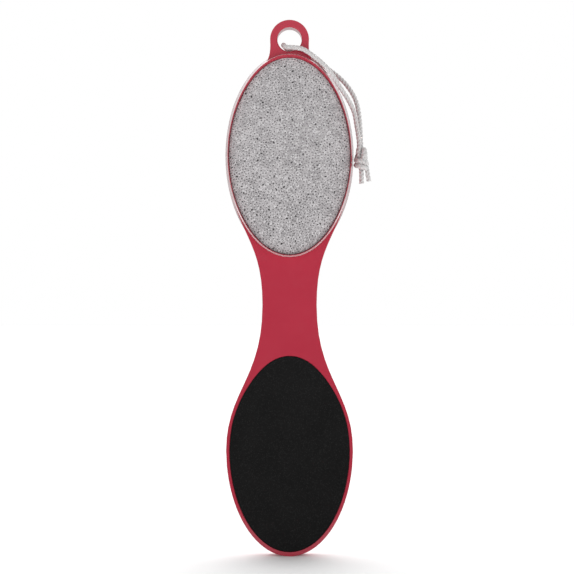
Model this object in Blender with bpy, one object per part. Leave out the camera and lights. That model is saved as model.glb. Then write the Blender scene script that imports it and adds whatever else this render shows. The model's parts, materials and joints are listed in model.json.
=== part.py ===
"""Pumice foot paddle with a hanging ring, a stone, an emery pad, a nail brush, a steel file and a cord.

The frame's origin is the centre of the ring's hole. Z points up along the paddle, and the stone faces -Y.
Sizes are in metres and angles in degrees.
"""

import math

import bmesh
import bpy
from mathutils import Matrix, Vector

# Overall layout, down from the centre of the ring's hole
PLATE_THICKNESS = 0.0064
EDGE_RADIUS = 0.0009
RING_TO_HEAD_TOP = 0.0052
UPPER_HEAD_TO_WAIST = 0.0671
WAIST_TO_LOWER_HEAD = 0.06465

# Clearance that touching pieces keep
SEAT_GAP = 0.0003

# Hanging ring
RING_HOLE_RADIUS = 0.00545
RING_WALL = 0.00325
RING_HOLE_ROUNDING = 0.0005
RING_NECK_ANGLE = 4.0
RING_NECK_PULL = 0.0048
SHOULDER_ANGLE = 22.5
SHOULDER_PULL = 0.0016

# Upper head, a dish with drafted walls and a raised lip
UPPER_HALF_WIDTH = 0.0289
UPPER_HALF_LENGTH = 0.0465
HEAD_WIDEST_Y = 0.0012
LIP_HEIGHT = 0.0030
LIP_WIDTH = 0.00025
LIP_ROUNDING = 0.00008
LIP_SIDE_DRAFT = 0.0013
LIP_END_DRAFT = 0.0017
LIP_FLANK_DRAW = 0.0003
LIP_DROP = 0.0004
BACK_DRAFT = 0.0004
WELL_BACK_WALL = 0.0012
LIP_SLOPE_HEIGHT = 0.0023
LIP_SIDE_SLOPE = 0.00035
LIP_END_SLOPE = 0.00075
WELL_DROP = 0.0006
HEAD_BACK_STEP = 0.0004
UPPER_FLANK_ANGLE = 67.5
UPPER_FLANK_PULL = 0.0210
UPPER_WAIST_PULL = 0.0260
FLANK_JOIN_DEPTH = 0.0009
SHOULDER_JOIN_DEPTH = 0.0013

# Handle
WAIST_HALF_WIDTH = 0.01212

# Lower head
LOWER_HALF_WIDTH = 0.0284
LOWER_HALF_LENGTH = 0.04785
LOWER_FLANK_ANGLE = 99.0
LOWER_FLANK_PULL = 0.0330
LOWER_WAIST_PULL = 0.0360

# Pumice stone and its glue
STONE_GAP = 0.0003
STONE_SIDE = 0.0041
STONE_SHOULDER = 0.0005
STONE_CROWN = 0.0022
STONE_CROWN_REACH = 0.92
GLUE_THICKNESS = 0.0005
GLUE_MARGIN = 0.0015

# Emery pad and its tape
PAD_SIDE_BORDER = 0.00167
PAD_TIP_BORDER = 0.00215
PAD_UPPER_LENGTH = 0.0416
PAD_TOP_POWER = 6.0
PAD_THICKNESS = 0.0010
PAD_TAPE_THICKNESS = 0.0004
PAD_TAPE_MARGIN = 0.0006

# Brush on the back of the upper head
BRUSH_SIDE_BORDER = 0.0049
BRUSH_END_BORDER = 0.0058
BRUSH_RECESS = 0.0012
BRUSH_BASE_THICKNESS = 0.0022
BRUSH_SLICE_THICKNESS = 0.0009
BRUSH_EDGE_ROUNDING = 0.0006
BRISTLE_LENGTH = 0.0095
BRISTLE_RADIUS = 0.0004
BRISTLE_TIP_RADIUS = 0.0003
BRISTLE_ROOT = 0.0003
BRISTLE_LEAN = 3.5
TUFT_PITCH = 0.0059
TUFT_RADIUS = 0.0009
STRANDS_PER_TUFT = 4
TUFT_MARGIN = 0.0034

# Steel file on the back of the lower head
FILE_SIDE_BORDER = 0.00477
FILE_END_BORDER = 0.0061
FILE_THICKNESS = 0.0006
FILE_TAPE_THICKNESS = 0.0004
FILE_TAPE_MARGIN = 0.0010
FILE_RECESS = 0.0010
FILE_EDGE_ROUNDING = 0.00015

# Cord
CORD_DIAMETER = 0.0020
CORD_POINT_SPACING = 0.0025
KNOT_DROP = 0.0530
KNOT_SIDE_GAP = 0.0001
KNOT_TOP = 0.0052
KNOT_BOTTOM = -0.0052
KNOT_CORE_RADIUS = 0.0020
KNOT_CORE_LEAN = -0.0011
KNOT_WRAP_RADIUS = 0.0024
KNOT_LOBE = (0.0015, 0.0016, 0.0027)
KNOT_LOBE_PLACE = (0.0016, -0.0003, 0.0029)
TAIL_SPLAY = 9.0
TAIL_SPACING = 0.0024
TAIL_LENGTHS = (0.0060, 0.0048)

# Each wrap of the knot: its name, its shift along X and Z from the knot's centre, and its tilt
KNOT_WRAPS = (
    ("upper_wrap", 0.0001, -0.0012, -8.0),
    ("lower_wrap", 0.0003, -0.0033, 14.0),
)

# How finely the shapes are drawn
OVAL_POINTS = 72
TIP_STEPS = 20
LOWER_FLANK_STEPS = 14
UPPER_FLANK_STEPS = 12
NECK_STEPS = 7
RING_STEPS = 16
SHOULDER_STEPS = 3
CROWN_STEPS = 4
EDGE_SEGMENTS = 2
STRAND_SIDES = 3
KNOT_SIDES = 16
WRAP_STEPS = (20, 8)
LOBE_STEPS = (12, 8)
CORD_BEVEL_STEPS = 2
ROUTE_STEPS = 16
TAIL_STEPS = 3

# What the shaping itself needs
CUT_OVERSHOOT = 0.002
FLARE_OVERSHOOT = 0.0001
WELD_DISTANCE = 0.000001
RIM_ANGLE = 57.0
SMOOTH_LIMIT = 35.0
ROUND_MIDDLE = 1 - math.sqrt(0.5)
UPRIGHT = Matrix(((1, 0, 0, 0), (0, 0, -1, 0), (0, 1, 0, 0), (0, 0, 0, 1)))
PART_NAME = "pumice_foot_paddle"

# Places that follow from the sizes
UPPER_HEAD_Z = -(RING_TO_HEAD_TOP + UPPER_HALF_LENGTH)
WELL_Z = UPPER_HEAD_Z - WELL_DROP
WAIST_Z = UPPER_HEAD_Z - UPPER_HEAD_TO_WAIST
LOWER_HEAD_Z = WAIST_Z - WAIST_TO_LOWER_HEAD
FRONT_FACE_Y = -PLATE_THICKNESS / 2
BACK_FACE_Y = PLATE_THICKNESS / 2
HEAD_BACK_Y = BACK_FACE_Y + HEAD_BACK_STEP
LIP_CREST_Y = FRONT_FACE_Y - LIP_HEIGHT
BRUSH_FLOOR_Y = HEAD_BACK_Y - BRUSH_RECESS
WELL_FLOOR_Y = BRUSH_FLOOR_Y - WELL_BACK_WALL
PAD_FLOOR_Y = FRONT_FACE_Y + PAD_THICKNESS + PAD_TAPE_THICKNESS + 2 * SEAT_GAP
FILE_FLOOR_Y = BACK_FACE_Y - FILE_RECESS
KNOT_X = UPPER_HALF_WIDTH + KNOT_SIDE_GAP + KNOT_WRAP_RADIUS + CORD_DIAMETER / 2
KNOT_CENTRE = (KNOT_X, 0.0, -KNOT_DROP)

# Where the loop's two ends enter the knot's top, along X and Y from its centre: front and back
KNOT_ENTRIES = ((-0.0011, -0.00105), (-0.0002, 0.00105))

# The loop's route between them: up in front of the shoulder and the ring, through the hole,
# and back down behind them
LOOP_ROUTE = [
    (0.0310, -0.0010, -0.0436),
    (0.0302, -0.0010, -0.0386),
    (0.0290, -0.0018, -0.0326),
    (0.0263, -0.0030, -0.0271),
    (0.0228, -0.0044, -0.0220),
    (0.0191, -0.0055, -0.0165),
    (0.0157, -0.0061, -0.0124),
    (0.0113, -0.0061, -0.0085),
    (0.0068, -0.0054, -0.0053),
    (0.0040, -0.0049, -0.0043),
    (0.0012, -0.0045, -0.0039),
    (-0.0013, -0.0036, -0.0036),
    (-0.0026, -0.0014, -0.0025),
    (-0.0025, 0.0008, -0.0018),
    (-0.0019, 0.0029, -0.0026),
    (0.0002, 0.0045, -0.0035),
    (0.0042, 0.0048, -0.0039),
    (0.0092, 0.0048, -0.0056),
    (0.0131, 0.0045, -0.0087),
    (0.0173, 0.0038, -0.0118),
    (0.0228, 0.0026, -0.0164),
    (0.0262, 0.0020, -0.0202),
    (0.0288, 0.0015, -0.0243),
    (0.0304, 0.0012, -0.0284),
    (0.0314, 0.0010, -0.0337),
    (0.0319, 0.0009, -0.0400),
]


def clear_scene():
    for old in list(bpy.data.objects):
        bpy.data.objects.remove(old, do_unlink=True)


def make_collection(name):
    found = bpy.data.collections.new(name)
    bpy.context.scene.collection.children.link(found)
    return found


def make_material(name, colour, roughness, metallic=0.0):
    material = bpy.data.materials.new(name)
    material.use_nodes = True
    shader = material.node_tree.nodes["Principled BSDF"]
    shader.inputs["Base Color"].default_value = (*colour, 1.0)
    shader.inputs["Roughness"].default_value = roughness
    shader.inputs["Metallic"].default_value = metallic
    return material


# Outlines are lists of (x, z) points, worked out from the sizes


def bezier(start, start_handle, end_handle, end, steps):
    """Points along a cubic curve, without its first point."""
    points = []
    for i in range(1, steps + 1):
        t = i / steps
        weights = ((1 - t) ** 3, 3 * t * (1 - t) ** 2, 3 * t * t * (1 - t), t**3)
        knots = (start, start_handle, end_handle, end)
        x = sum(w * k[0] for w, k in zip(weights, knots))
        z = sum(w * k[1] for w, k in zip(weights, knots))
        points.append((x, z))
    return points


def on_ellipse(centre_z, half_width, half_length, angle):
    """The right-hand point of an upright ellipse at an angle from its lower end, and its run upwards."""
    turn = math.radians(angle)
    point = (half_width * math.sin(turn), centre_z - half_length * math.cos(turn))
    run = Vector((half_width * math.cos(turn), half_length * math.sin(turn))).normalized()
    return point, run


def step_from(point, direction, distance):
    return (point[0] + direction[0] * distance, point[1] + direction[1] * distance)


def plate_outline():
    """The right half of the flat plate, from its lower tip to the top of the ring."""
    points = []
    for i in range(TIP_STEPS + 1):
        angle = (180 - LOWER_FLANK_ANGLE) * i / TIP_STEPS
        points.append(on_ellipse(LOWER_HEAD_Z, LOWER_HALF_WIDTH, LOWER_HALF_LENGTH, angle)[0])
    low_end, low_run = on_ellipse(
        LOWER_HEAD_Z, LOWER_HALF_WIDTH, LOWER_HALF_LENGTH, 180 - LOWER_FLANK_ANGLE
    )
    waist = (WAIST_HALF_WIDTH, WAIST_Z)
    points += bezier(
        low_end,
        step_from(low_end, low_run, LOWER_FLANK_PULL),
        (WAIST_HALF_WIDTH, WAIST_Z - LOWER_WAIST_PULL),
        waist,
        LOWER_FLANK_STEPS,
    )
    high_end, high_run = inside_head(UPPER_FLANK_ANGLE, FLANK_JOIN_DEPTH)
    points += bezier(
        waist,
        (WAIST_HALF_WIDTH, WAIST_Z + UPPER_WAIST_PULL),
        step_from(high_end, high_run, -UPPER_FLANK_PULL),
        high_end,
        UPPER_FLANK_STEPS,
    )
    points += neck_outline()
    return points


def inside_head(angle, depth):
    """Where the plate's outline ends or starts inside the upper head's wall, and its run there."""
    half_width = UPPER_HALF_WIDTH - depth
    half_length = UPPER_HALF_LENGTH - depth
    return on_ellipse(UPPER_HEAD_Z, half_width, half_length, angle)


def neck_outline():
    """From inside the upper head, out along its shoulder and round the ring to its top."""
    shoulder, shoulder_run = inside_head(180 - SHOULDER_ANGLE, SHOULDER_JOIN_DEPTH)
    drop = math.radians(-RING_NECK_ANGLE)
    radius = RING_HOLE_RADIUS + RING_WALL
    neck = (radius * math.cos(drop), radius * math.sin(drop))
    neck_run = (math.sin(drop), -math.cos(drop))
    points = [shoulder]
    points += bezier(
        shoulder,
        step_from(shoulder, shoulder_run, SHOULDER_PULL),
        step_from(neck, neck_run, RING_NECK_PULL),
        neck,
        NECK_STEPS,
    )
    for i in range(1, RING_STEPS + 1):
        angle = drop + (math.pi / 2 - drop) * i / RING_STEPS
        points.append((radius * math.cos(angle), radius * math.sin(angle)))
    return points


def mirrored(half):
    """Closes a right half that starts and ends on the middle line."""
    left = [(-x, z) for x, z in reversed(half[1:-1])]
    return [(0.0, half[0][1])] + half[1:-1] + [(0.0, half[-1][1])] + left


def plate_half_width(z):
    """Half the plate's width at a height between its lower tip and the upper head."""
    outline = plate_outline()
    for (low_x, low_z), (high_x, high_z) in zip(outline, outline[1:]):
        if low_z <= z <= high_z:
            return low_x + (high_x - low_x) * (z - low_z) / (high_z - low_z)
    return 0.0


def ellipse(half_width, half_length):
    """An upright ellipse round its own centre."""
    points = []
    for i in range(OVAL_POINTS):
        turn = 2 * math.pi * i / OVAL_POINTS
        points.append((half_width * math.sin(turn), half_length * math.cos(turn)))
    return points


def pointed_ellipse(half_width, half_length):
    """An upright ellipse whose four flanks are drawn in a little, which points its ends."""
    points = []
    for i in range(OVAL_POINTS):
        turn = 2 * math.pi * i / OVAL_POINTS
        out = Vector((math.sin(turn) / half_width, math.cos(turn) / half_length)).normalized()
        drawn_in = LIP_FLANK_DRAW * math.sin(2 * turn) ** 2
        x = half_width * math.sin(turn) - out.x * drawn_in
        z = half_length * math.cos(turn) - out.y * drawn_in
        points.append((x, z))
    return points


def lowered(points, drop):
    return [(x, z - drop) for x, z in points]


# Each outline below is drawn in by an inset. All but the crest and the rim are round their own centre


def head_outline(inset):
    return ellipse(UPPER_HALF_WIDTH - inset, UPPER_HALF_LENGTH - inset)


def crest_outline(inset):
    """The outer edge of the lip's crest, which sits a little below the head's centre."""
    half_width = UPPER_HALF_WIDTH - LIP_SIDE_DRAFT - inset
    half_length = UPPER_HALF_LENGTH - LIP_END_DRAFT - inset
    return lowered(pointed_ellipse(half_width, half_length), LIP_DROP)


def rim_outline(inset):
    return crest_outline(LIP_WIDTH + inset)


def well_outline(inset):
    """The well below the lip's inner slope, which is steep at the sides and wider at the two ends."""
    side = LIP_SIDE_DRAFT + LIP_WIDTH + LIP_SIDE_SLOPE + inset
    end = LIP_END_DRAFT + LIP_WIDTH + LIP_END_SLOPE + inset
    return pointed_ellipse(UPPER_HALF_WIDTH - side, UPPER_HALF_LENGTH - end)


def stone_outline(inset):
    return well_outline(STONE_GAP + inset)


def hole_outline(inset):
    return ellipse(RING_HOLE_RADIUS - inset, RING_HOLE_RADIUS - inset)


def brush_outline(inset):
    return ellipse(
        UPPER_HALF_WIDTH - BRUSH_SIDE_BORDER - inset, UPPER_HALF_LENGTH - BRUSH_END_BORDER - inset
    )


def file_outline(inset):
    return ellipse(
        LOWER_HALF_WIDTH - FILE_SIDE_BORDER - inset, LOWER_HALF_LENGTH - FILE_END_BORDER - inset
    )


def pad_outline(inset):
    """The pad keeps its border to the plate's sides, and closes over the handle in a blunt arc."""
    side = LOWER_HALF_WIDTH - PAD_SIDE_BORDER - inset
    upper = PAD_UPPER_LENGTH - inset
    lower = LOWER_HALF_LENGTH - PAD_TIP_BORDER - inset
    points = []
    for i in range(OVAL_POINTS):
        turn = 2 * math.pi * i / OVAL_POINTS
        rise = math.cos(turn)
        if rise <= 0:
            points.append((side * math.sin(turn), lower * rise))
            continue
        reach = plate_half_width(LOWER_HEAD_Z + upper * rise) - PAD_SIDE_BORDER - inset
        closing = math.sqrt(max(0.0, 1 - rise**PAD_TOP_POWER))
        points.append((math.copysign(reach * closing, math.sin(turn)), upper * rise))
    return points


# Meshes and objects


def finish_mesh(name, mesh_builder):
    bmesh.ops.recalc_face_normals(mesh_builder, faces=mesh_builder.faces)
    mesh = bpy.data.meshes.new(name)
    mesh_builder.to_mesh(mesh)
    mesh_builder.free()
    return mesh


def add_object(name, mesh, material, collection, location=(0, 0, 0), parent=None):
    made = bpy.data.objects.new(name, mesh)
    collection.objects.link(made)
    made.location = location
    made.parent = parent
    if material is not None:
        mesh.materials.clear()
        mesh.materials.append(material)
    mesh.shade_smooth()
    mesh.set_sharp_from_angle(angle=math.radians(SMOOTH_LIMIT))
    return made


def loft(name, outline, profile):
    """A closed body whose sections are one outline. The profile lists (inset, y) from end to end."""
    return section_loft(name, [(outline(inset), y) for inset, y in profile])


def section_loft(name, sections):
    """A closed body through a list of (outline, y) from end to end."""
    builder = bmesh.new()
    rings = []
    for points, y in sections:
        rings.append([builder.verts.new((x, y, z)) for x, z in points])
    for near, far in zip(rings, rings[1:]):
        for i in range(OVAL_POINTS):
            j = (i + 1) % OVAL_POINTS
            builder.faces.new((near[i], near[j], far[j], far[i]))
    builder.faces.new(rings[0])
    builder.faces.new(rings[-1])
    return finish_mesh(name, builder)


def plate_mesh(name, outline, thickness, rounding):
    """A flat plate cut to an outline in X and Z, with rounded edges, standing across Y."""
    drawing = bpy.data.curves.new(name + "_outline", "CURVE")
    drawing.dimensions = "2D"
    drawing.fill_mode = "BOTH"
    drawing.extrude = thickness / 2
    spline = drawing.splines.new("POLY")
    spline.points.add(len(outline) - 1)
    for point, (x, z) in zip(spline.points, outline):
        point.co = (x, z, 0, 1)
    spline.use_cyclic_u = True
    sketch = bpy.data.objects.new(name + "_sketch", drawing)
    bpy.context.scene.collection.objects.link(sketch)
    sketch.matrix_world = UPRIGHT
    mesh = weld_curve(name, sketch)
    builder = bmesh.new()
    builder.from_mesh(mesh)
    limit = math.radians(RIM_ANGLE)
    rims = [e for e in builder.edges if len(e.link_faces) == 2 and e.calc_face_angle() > limit]
    bmesh.ops.bevel(
        builder,
        geom=rims,
        offset=rounding,
        segments=EDGE_SEGMENTS,
        affect="EDGES",
        profile=0.5,
        clamp_overlap=True,
    )
    bmesh.ops.recalc_face_normals(builder, faces=builder.faces)
    builder.to_mesh(mesh)
    builder.free()
    return mesh


def weld_curve(name, source):
    """Turns a curve object into a welded mesh in world space and removes the curve."""
    bpy.context.view_layer.update()
    evaluated = source.evaluated_get(bpy.context.evaluated_depsgraph_get())
    mesh = bpy.data.meshes.new_from_object(evaluated)
    mesh.name = name
    mesh.transform(source.matrix_world)
    builder = bmesh.new()
    builder.from_mesh(mesh)
    bmesh.ops.remove_doubles(builder, verts=builder.verts, dist=WELD_DISTANCE)
    builder.to_mesh(mesh)
    builder.free()
    bpy.data.objects.remove(source, do_unlink=True)
    return mesh


def join(target, operand):
    step = target.modifiers.new("join_" + operand.name, "BOOLEAN")
    step.object = operand
    step.operation = "UNION"
    step.solver = "EXACT"


def cut_all(target, tools):
    """Cuts every shape of a collection out of an object in one step."""
    step = target.modifiers.new("cut_" + tools.name, "BOOLEAN")
    step.operand_type = "COLLECTION"
    step.collection = tools
    step.operation = "DIFFERENCE"
    step.solver = "EXACT"


def add_cutter(name, mesh, location=(0, 0, 0), collection=None):
    cutter = add_object(name, mesh, None, collection or cutters, location)
    cutter.hide_render = True
    cutter.display_type = "WIRE"
    return cutter


def smooth_route(route, spacing):
    """Evenly spaced points along one smooth curve through a route's points."""
    knots = [Vector(p) for p in route]
    knots = [2 * knots[0] - knots[1]] + knots + [2 * knots[-1] - knots[-2]]
    fine = [knots[1]]
    for a, b, c, d in zip(knots, knots[1:], knots[2:], knots[3:]):
        for i in range(1, ROUTE_STEPS + 1):
            t = i / ROUTE_STEPS
            bend = (2 * a - 5 * b + 4 * c - d) * t * t + (3 * b - a - 3 * c + d) * t**3
            fine.append(b + (c - a) * t / 2 + bend / 2)
    lengths = [0.0]
    for before, after in zip(fine, fine[1:]):
        lengths.append(lengths[-1] + (after - before).length)
    count = round(lengths[-1] / spacing)
    points = []
    at = 0
    for i in range(count + 1):
        goal = lengths[-1] * i / count
        while at < len(fine) - 2 and lengths[at + 1] < goal:
            at += 1
        share = (goal - lengths[at]) / (lengths[at + 1] - lengths[at])
        points.append(fine[at].lerp(fine[at + 1], share))
    return points, lengths[-1]


def cord_tube(name, points, parent):
    """A round tube with closed ends along a line of points."""
    line = bpy.data.curves.new(name, "CURVE")
    line.dimensions = "3D"
    line.bevel_depth = CORD_DIAMETER / 2
    line.bevel_resolution = CORD_BEVEL_STEPS
    line.use_fill_caps = True
    spline = line.splines.new("POLY")
    spline.points.add(len(points) - 1)
    for point, place in zip(spline.points, points):
        point.co = (*place, 1)
    tube = bpy.data.objects.new(name, line)
    parts.objects.link(tube)
    tube.parent = parent
    line.materials.append(cotton)
    return tube


# The moulded body


def make_body(parent):
    plate = plate_mesh("paddle_body", mirrored(plate_outline()), PLATE_THICKNESS, EDGE_RADIUS)
    body = add_object("paddle_body", plate, red_plastic, parts, (0, 0, 0), parent)

    back_edge = HEAD_BACK_Y - EDGE_RADIUS
    crest_edge = LIP_CREST_Y + LIP_ROUNDING
    head_sections = [
        (head_outline(BACK_DRAFT + EDGE_RADIUS), HEAD_BACK_Y),
        (head_outline(BACK_DRAFT + EDGE_RADIUS * ROUND_MIDDLE), HEAD_BACK_Y - EDGE_RADIUS * ROUND_MIDDLE),
        (head_outline(BACK_DRAFT), back_edge),
        (head_outline(0.0), HEAD_WIDEST_Y),
        (crest_outline(0.0), crest_edge),
        (crest_outline(LIP_ROUNDING * ROUND_MIDDLE), LIP_CREST_Y + LIP_ROUNDING * ROUND_MIDDLE),
        (crest_outline(LIP_ROUNDING), LIP_CREST_Y),
    ]
    head = section_loft("upper_head", head_sections)
    join(body, add_cutter("upper_head", head, (0, 0, UPPER_HEAD_Z)))

    slope_foot = LIP_CREST_Y + LIP_SLOPE_HEIGHT
    over = LIP_CREST_Y - CUT_OVERSHOOT
    well_sections = [
        (rim_outline(-LIP_ROUNDING - CUT_OVERSHOOT), over),
        (rim_outline(0.0), crest_edge),
        (lowered(well_outline(0.0), WELL_DROP), slope_foot),
        (lowered(well_outline(0.0), WELL_DROP), WELL_FLOOR_Y),
    ]
    add_cutter("stone_well", section_loft("stone_well", well_sections), (0, 0, UPPER_HEAD_Z), recesses)

    front = FRONT_FACE_Y - CUT_OVERSHOOT
    back = HEAD_BACK_Y + CUT_OVERSHOOT
    pad_profile = [(-SEAT_GAP, front), (-SEAT_GAP, PAD_FLOOR_Y)]
    recess("pad_recess", pad_outline, pad_profile, LOWER_HEAD_Z)
    brush_profile = [(-SEAT_GAP, BRUSH_FLOOR_Y), (-SEAT_GAP, back)]
    recess("brush_recess", brush_outline, brush_profile, UPPER_HEAD_Z)
    file_profile = [(-SEAT_GAP, FILE_FLOOR_Y), (-SEAT_GAP, back)]
    recess("file_recess", file_outline, file_profile, LOWER_HEAD_Z)

    flare = RING_HOLE_ROUNDING + FLARE_OVERSHOOT
    hole_profile = [
        (-flare, FRONT_FACE_Y - FLARE_OVERSHOOT),
        (0.0, FRONT_FACE_Y + RING_HOLE_ROUNDING),
        (0.0, BACK_FACE_Y - RING_HOLE_ROUNDING),
        (-flare, BACK_FACE_Y + FLARE_OVERSHOOT),
    ]
    recess("ring_hole", hole_outline, hole_profile, 0.0)
    cut_all(body, recesses)


def recess(name, outline, profile, z):
    add_cutter(name, loft(name, outline, profile), (0, 0, z), recesses)


def add_oval(name, outline, profile, material, z, parent):
    return add_object(name, loft(name, outline, profile), material, parts, (0, 0, z), parent)


# Stone, pads and file


def make_stone(parent):
    """The bed of glue on the well's floor, and the domed stone that sits on it."""
    bed_back = WELL_FLOOR_Y - SEAT_GAP
    bed_front = bed_back - GLUE_THICKNESS
    glue_profile = [(GLUE_MARGIN, bed_back), (GLUE_MARGIN, bed_front)]
    add_oval("stone_glue_bed", stone_outline, glue_profile, glue, WELL_Z, parent)

    stone_back = bed_front - SEAT_GAP
    shoulder_foot = stone_back - STONE_SIDE
    profile = [(0.0, stone_back), (0.0, shoulder_foot)]
    for i in range(1, SHOULDER_STEPS + 1):
        turn = math.pi / 2 * i / SHOULDER_STEPS
        profile.append(
            (STONE_SHOULDER * (1 - math.cos(turn)), shoulder_foot - STONE_SHOULDER * math.sin(turn))
        )
    crown_foot = shoulder_foot - STONE_SHOULDER
    half_width = max(x for x, z in stone_outline(STONE_SHOULDER))
    for i in range(1, CROWN_STEPS + 1):
        share = STONE_CROWN_REACH * i / CROWN_STEPS
        inwards = STONE_SHOULDER + half_width * share
        profile.append((inwards, crown_foot - STONE_CROWN * (1 - (1 - share) ** 2)))
    add_oval("pumice_stone", stone_outline, profile, pumice, WELL_Z, parent)


def make_emery_pad(parent):
    tape_back = PAD_FLOOR_Y - SEAT_GAP
    tape_front = tape_back - PAD_TAPE_THICKNESS
    tape_profile = [(PAD_TAPE_MARGIN, tape_back), (PAD_TAPE_MARGIN, tape_front)]
    add_oval("emery_pad_tape", pad_outline, tape_profile, tape, LOWER_HEAD_Z, parent)

    pad_back = tape_front - SEAT_GAP
    pad_profile = [(0.0, pad_back), (0.0, pad_back - PAD_THICKNESS)]
    add_oval("coarse_emery_pad", pad_outline, pad_profile, emery, LOWER_HEAD_Z, parent)


def make_file(parent):
    tape_front = FILE_FLOOR_Y + SEAT_GAP
    tape_back = tape_front + FILE_TAPE_THICKNESS
    tape_profile = [(FILE_TAPE_MARGIN, tape_front), (FILE_TAPE_MARGIN, tape_back)]
    add_oval("metal_file_tape", file_outline, tape_profile, tape, LOWER_HEAD_Z, parent)

    front = tape_back + SEAT_GAP
    back = front + FILE_THICKNESS
    profile = [(0.0, front), (0.0, back - FILE_EDGE_ROUNDING), (FILE_EDGE_ROUNDING, back)]
    add_oval("metal_file", file_outline, profile, steel, LOWER_HEAD_Z, parent)


# Brush


def tuft_places():
    """Staggered rows of tufts that fill the brush's oval, round its centre."""
    places = []
    row_pitch = TUFT_PITCH * math.sqrt(3) / 2
    field = brush_outline(TUFT_MARGIN)
    field_width = max(x for x, z in field)
    field_length = max(z for x, z in field)
    rows = int(field_length / row_pitch)
    columns = int(field_width / TUFT_PITCH) + 1
    for row in range(-rows, rows + 1):
        shift = TUFT_PITCH / 2 if row % 2 else 0.0
        for column in range(-columns, columns + 1):
            x = column * TUFT_PITCH + shift
            z = row * row_pitch
            wide = x / field_width
            tall = z / field_length
            if wide * wide + tall * tall <= 1.0:
                places.append((x, z))
    return places


def strand_mesh(slice_back):
    """All the strands of the brush, each a thin cone with closed ends that leans out from its tuft."""
    builder = bmesh.new()
    lean = math.radians(BRISTLE_LEAN)
    length = BRISTLE_LENGTH + BRISTLE_ROOT
    for x, z in tuft_places():
        for k in range(STRANDS_PER_TUFT):
            turn = 2 * math.pi * (k + 0.5) / STRANDS_PER_TUFT
            out = Vector((math.cos(turn), 0, math.sin(turn)))
            along = (Vector((0, math.cos(lean), 0)) + out * math.sin(lean)).normalized()
            foot = Vector((x, slice_back - BRISTLE_ROOT, z)) + out * TUFT_RADIUS
            place = Matrix.Translation(foot + along * length / 2)
            bmesh.ops.create_cone(
                builder,
                cap_ends=True,
                segments=STRAND_SIDES,
                radius1=BRISTLE_RADIUS,
                radius2=BRISTLE_TIP_RADIUS,
                depth=length,
                matrix=place @ along.to_track_quat("Z", "X").to_matrix().to_4x4(),
            )
    return finish_mesh("strands", builder)


def make_brush(parent):
    base_front = BRUSH_FLOOR_Y + SEAT_GAP
    base_back = base_front + BRUSH_BASE_THICKNESS
    base_profile = [(0.0, base_front), (0.0, base_back)]
    add_oval("brush_base", brush_outline, base_profile, brush_plastic, UPPER_HEAD_Z, parent)

    slice_front = base_back + SEAT_GAP
    slice_back = slice_front + BRUSH_SLICE_THICKNESS
    slice_profile = [
        (0.0, slice_front),
        (0.0, slice_back - BRUSH_EDGE_ROUNDING),
        (BRUSH_EDGE_ROUNDING, slice_back),
    ]
    brush = add_oval("brush_bristles", brush_outline, slice_profile, nylon, UPPER_HEAD_Z, parent)
    strands = add_cutter("strands", strand_mesh(slice_back), (0, 0, UPPER_HEAD_Z))
    join(brush, strands)
    print("bristle strands:", len(tuft_places()) * STRANDS_PER_TUFT)


# Cord


def torus(name, ring_radius, tube_radius, matrix):
    bpy.ops.mesh.primitive_torus_add(
        major_segments=WRAP_STEPS[0],
        minor_segments=WRAP_STEPS[1],
        major_radius=ring_radius,
        minor_radius=tube_radius,
    )
    made = bpy.context.object
    mesh = made.data
    mesh.transform(matrix)
    bpy.data.objects.remove(made, do_unlink=True)
    return add_cutter(name, mesh, KNOT_CENTRE)


def make_knot(parent):
    """The tied knot as one lumpy body: a leaning core, two wraps round it and a lobe at its upper right."""
    height = KNOT_TOP - KNOT_BOTTOM
    shear = Matrix.Identity(4)
    shear[0][2] = 2 * KNOT_CORE_LEAN / height
    builder = bmesh.new()
    bmesh.ops.create_cone(
        builder,
        cap_ends=True,
        segments=KNOT_SIDES,
        radius1=KNOT_CORE_RADIUS,
        radius2=KNOT_CORE_RADIUS,
        depth=height,
        matrix=shear @ Matrix.Translation((0, 0, (KNOT_TOP + KNOT_BOTTOM) / 2)),
    )
    knot = add_object(
        "cord_knot", finish_mesh("cord_knot", builder), cotton, parts, KNOT_CENTRE, parent
    )
    for name, x, z, tilt in KNOT_WRAPS:
        place = Matrix.Translation((x, 0, z)) @ Matrix.Rotation(math.radians(tilt), 4, "Y")
        join(knot, torus(name, KNOT_WRAP_RADIUS, CORD_DIAMETER / 2, place))
    builder = bmesh.new()
    bmesh.ops.create_uvsphere(
        builder,
        u_segments=LOBE_STEPS[0],
        v_segments=LOBE_STEPS[1],
        radius=1.0,
        matrix=Matrix.Translation(KNOT_LOBE_PLACE) @ Matrix.Diagonal((*KNOT_LOBE, 1)),
    )
    join(knot, add_cutter("lobe", finish_mesh("lobe", builder), KNOT_CENTRE))


def make_tails(parent):
    """Two cut tails under the knot."""
    top = Vector(KNOT_CENTRE) + Vector((0, 0, KNOT_BOTTOM - SEAT_GAP))
    tails = (
        ("cord_tail_left", 0.0, 0.0, TAIL_LENGTHS[0]),
        ("cord_tail_right", TAIL_SPACING, TAIL_SPLAY, TAIL_LENGTHS[1]),
    )
    for name, shift, splay, length in tails:
        turn = math.radians(splay)
        down = Vector((math.sin(turn), 0, -math.cos(turn)))
        start = top + Vector((shift, 0, 0))
        steps = [i / TAIL_STEPS for i in range(TAIL_STEPS + 1)]
        cord_tube(name, [start + down * length * step for step in steps], parent)


def make_cord(parent):
    entry_z = KNOT_TOP + SEAT_GAP
    front, back = [Vector(KNOT_CENTRE) + Vector((x, y, entry_z)) for x, y in KNOT_ENTRIES]
    points, length = smooth_route([front] + LOOP_ROUTE + [back], CORD_POINT_SPACING)
    cord_tube("cord_loop", points, parent)
    print("cord loop length:", round(length, 4), "points:", len(points))
    make_knot(parent)
    make_tails(parent)


clear_scene()
parts = make_collection(PART_NAME)
cutters = make_collection("cutters")
recesses = make_collection("recesses")

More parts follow.
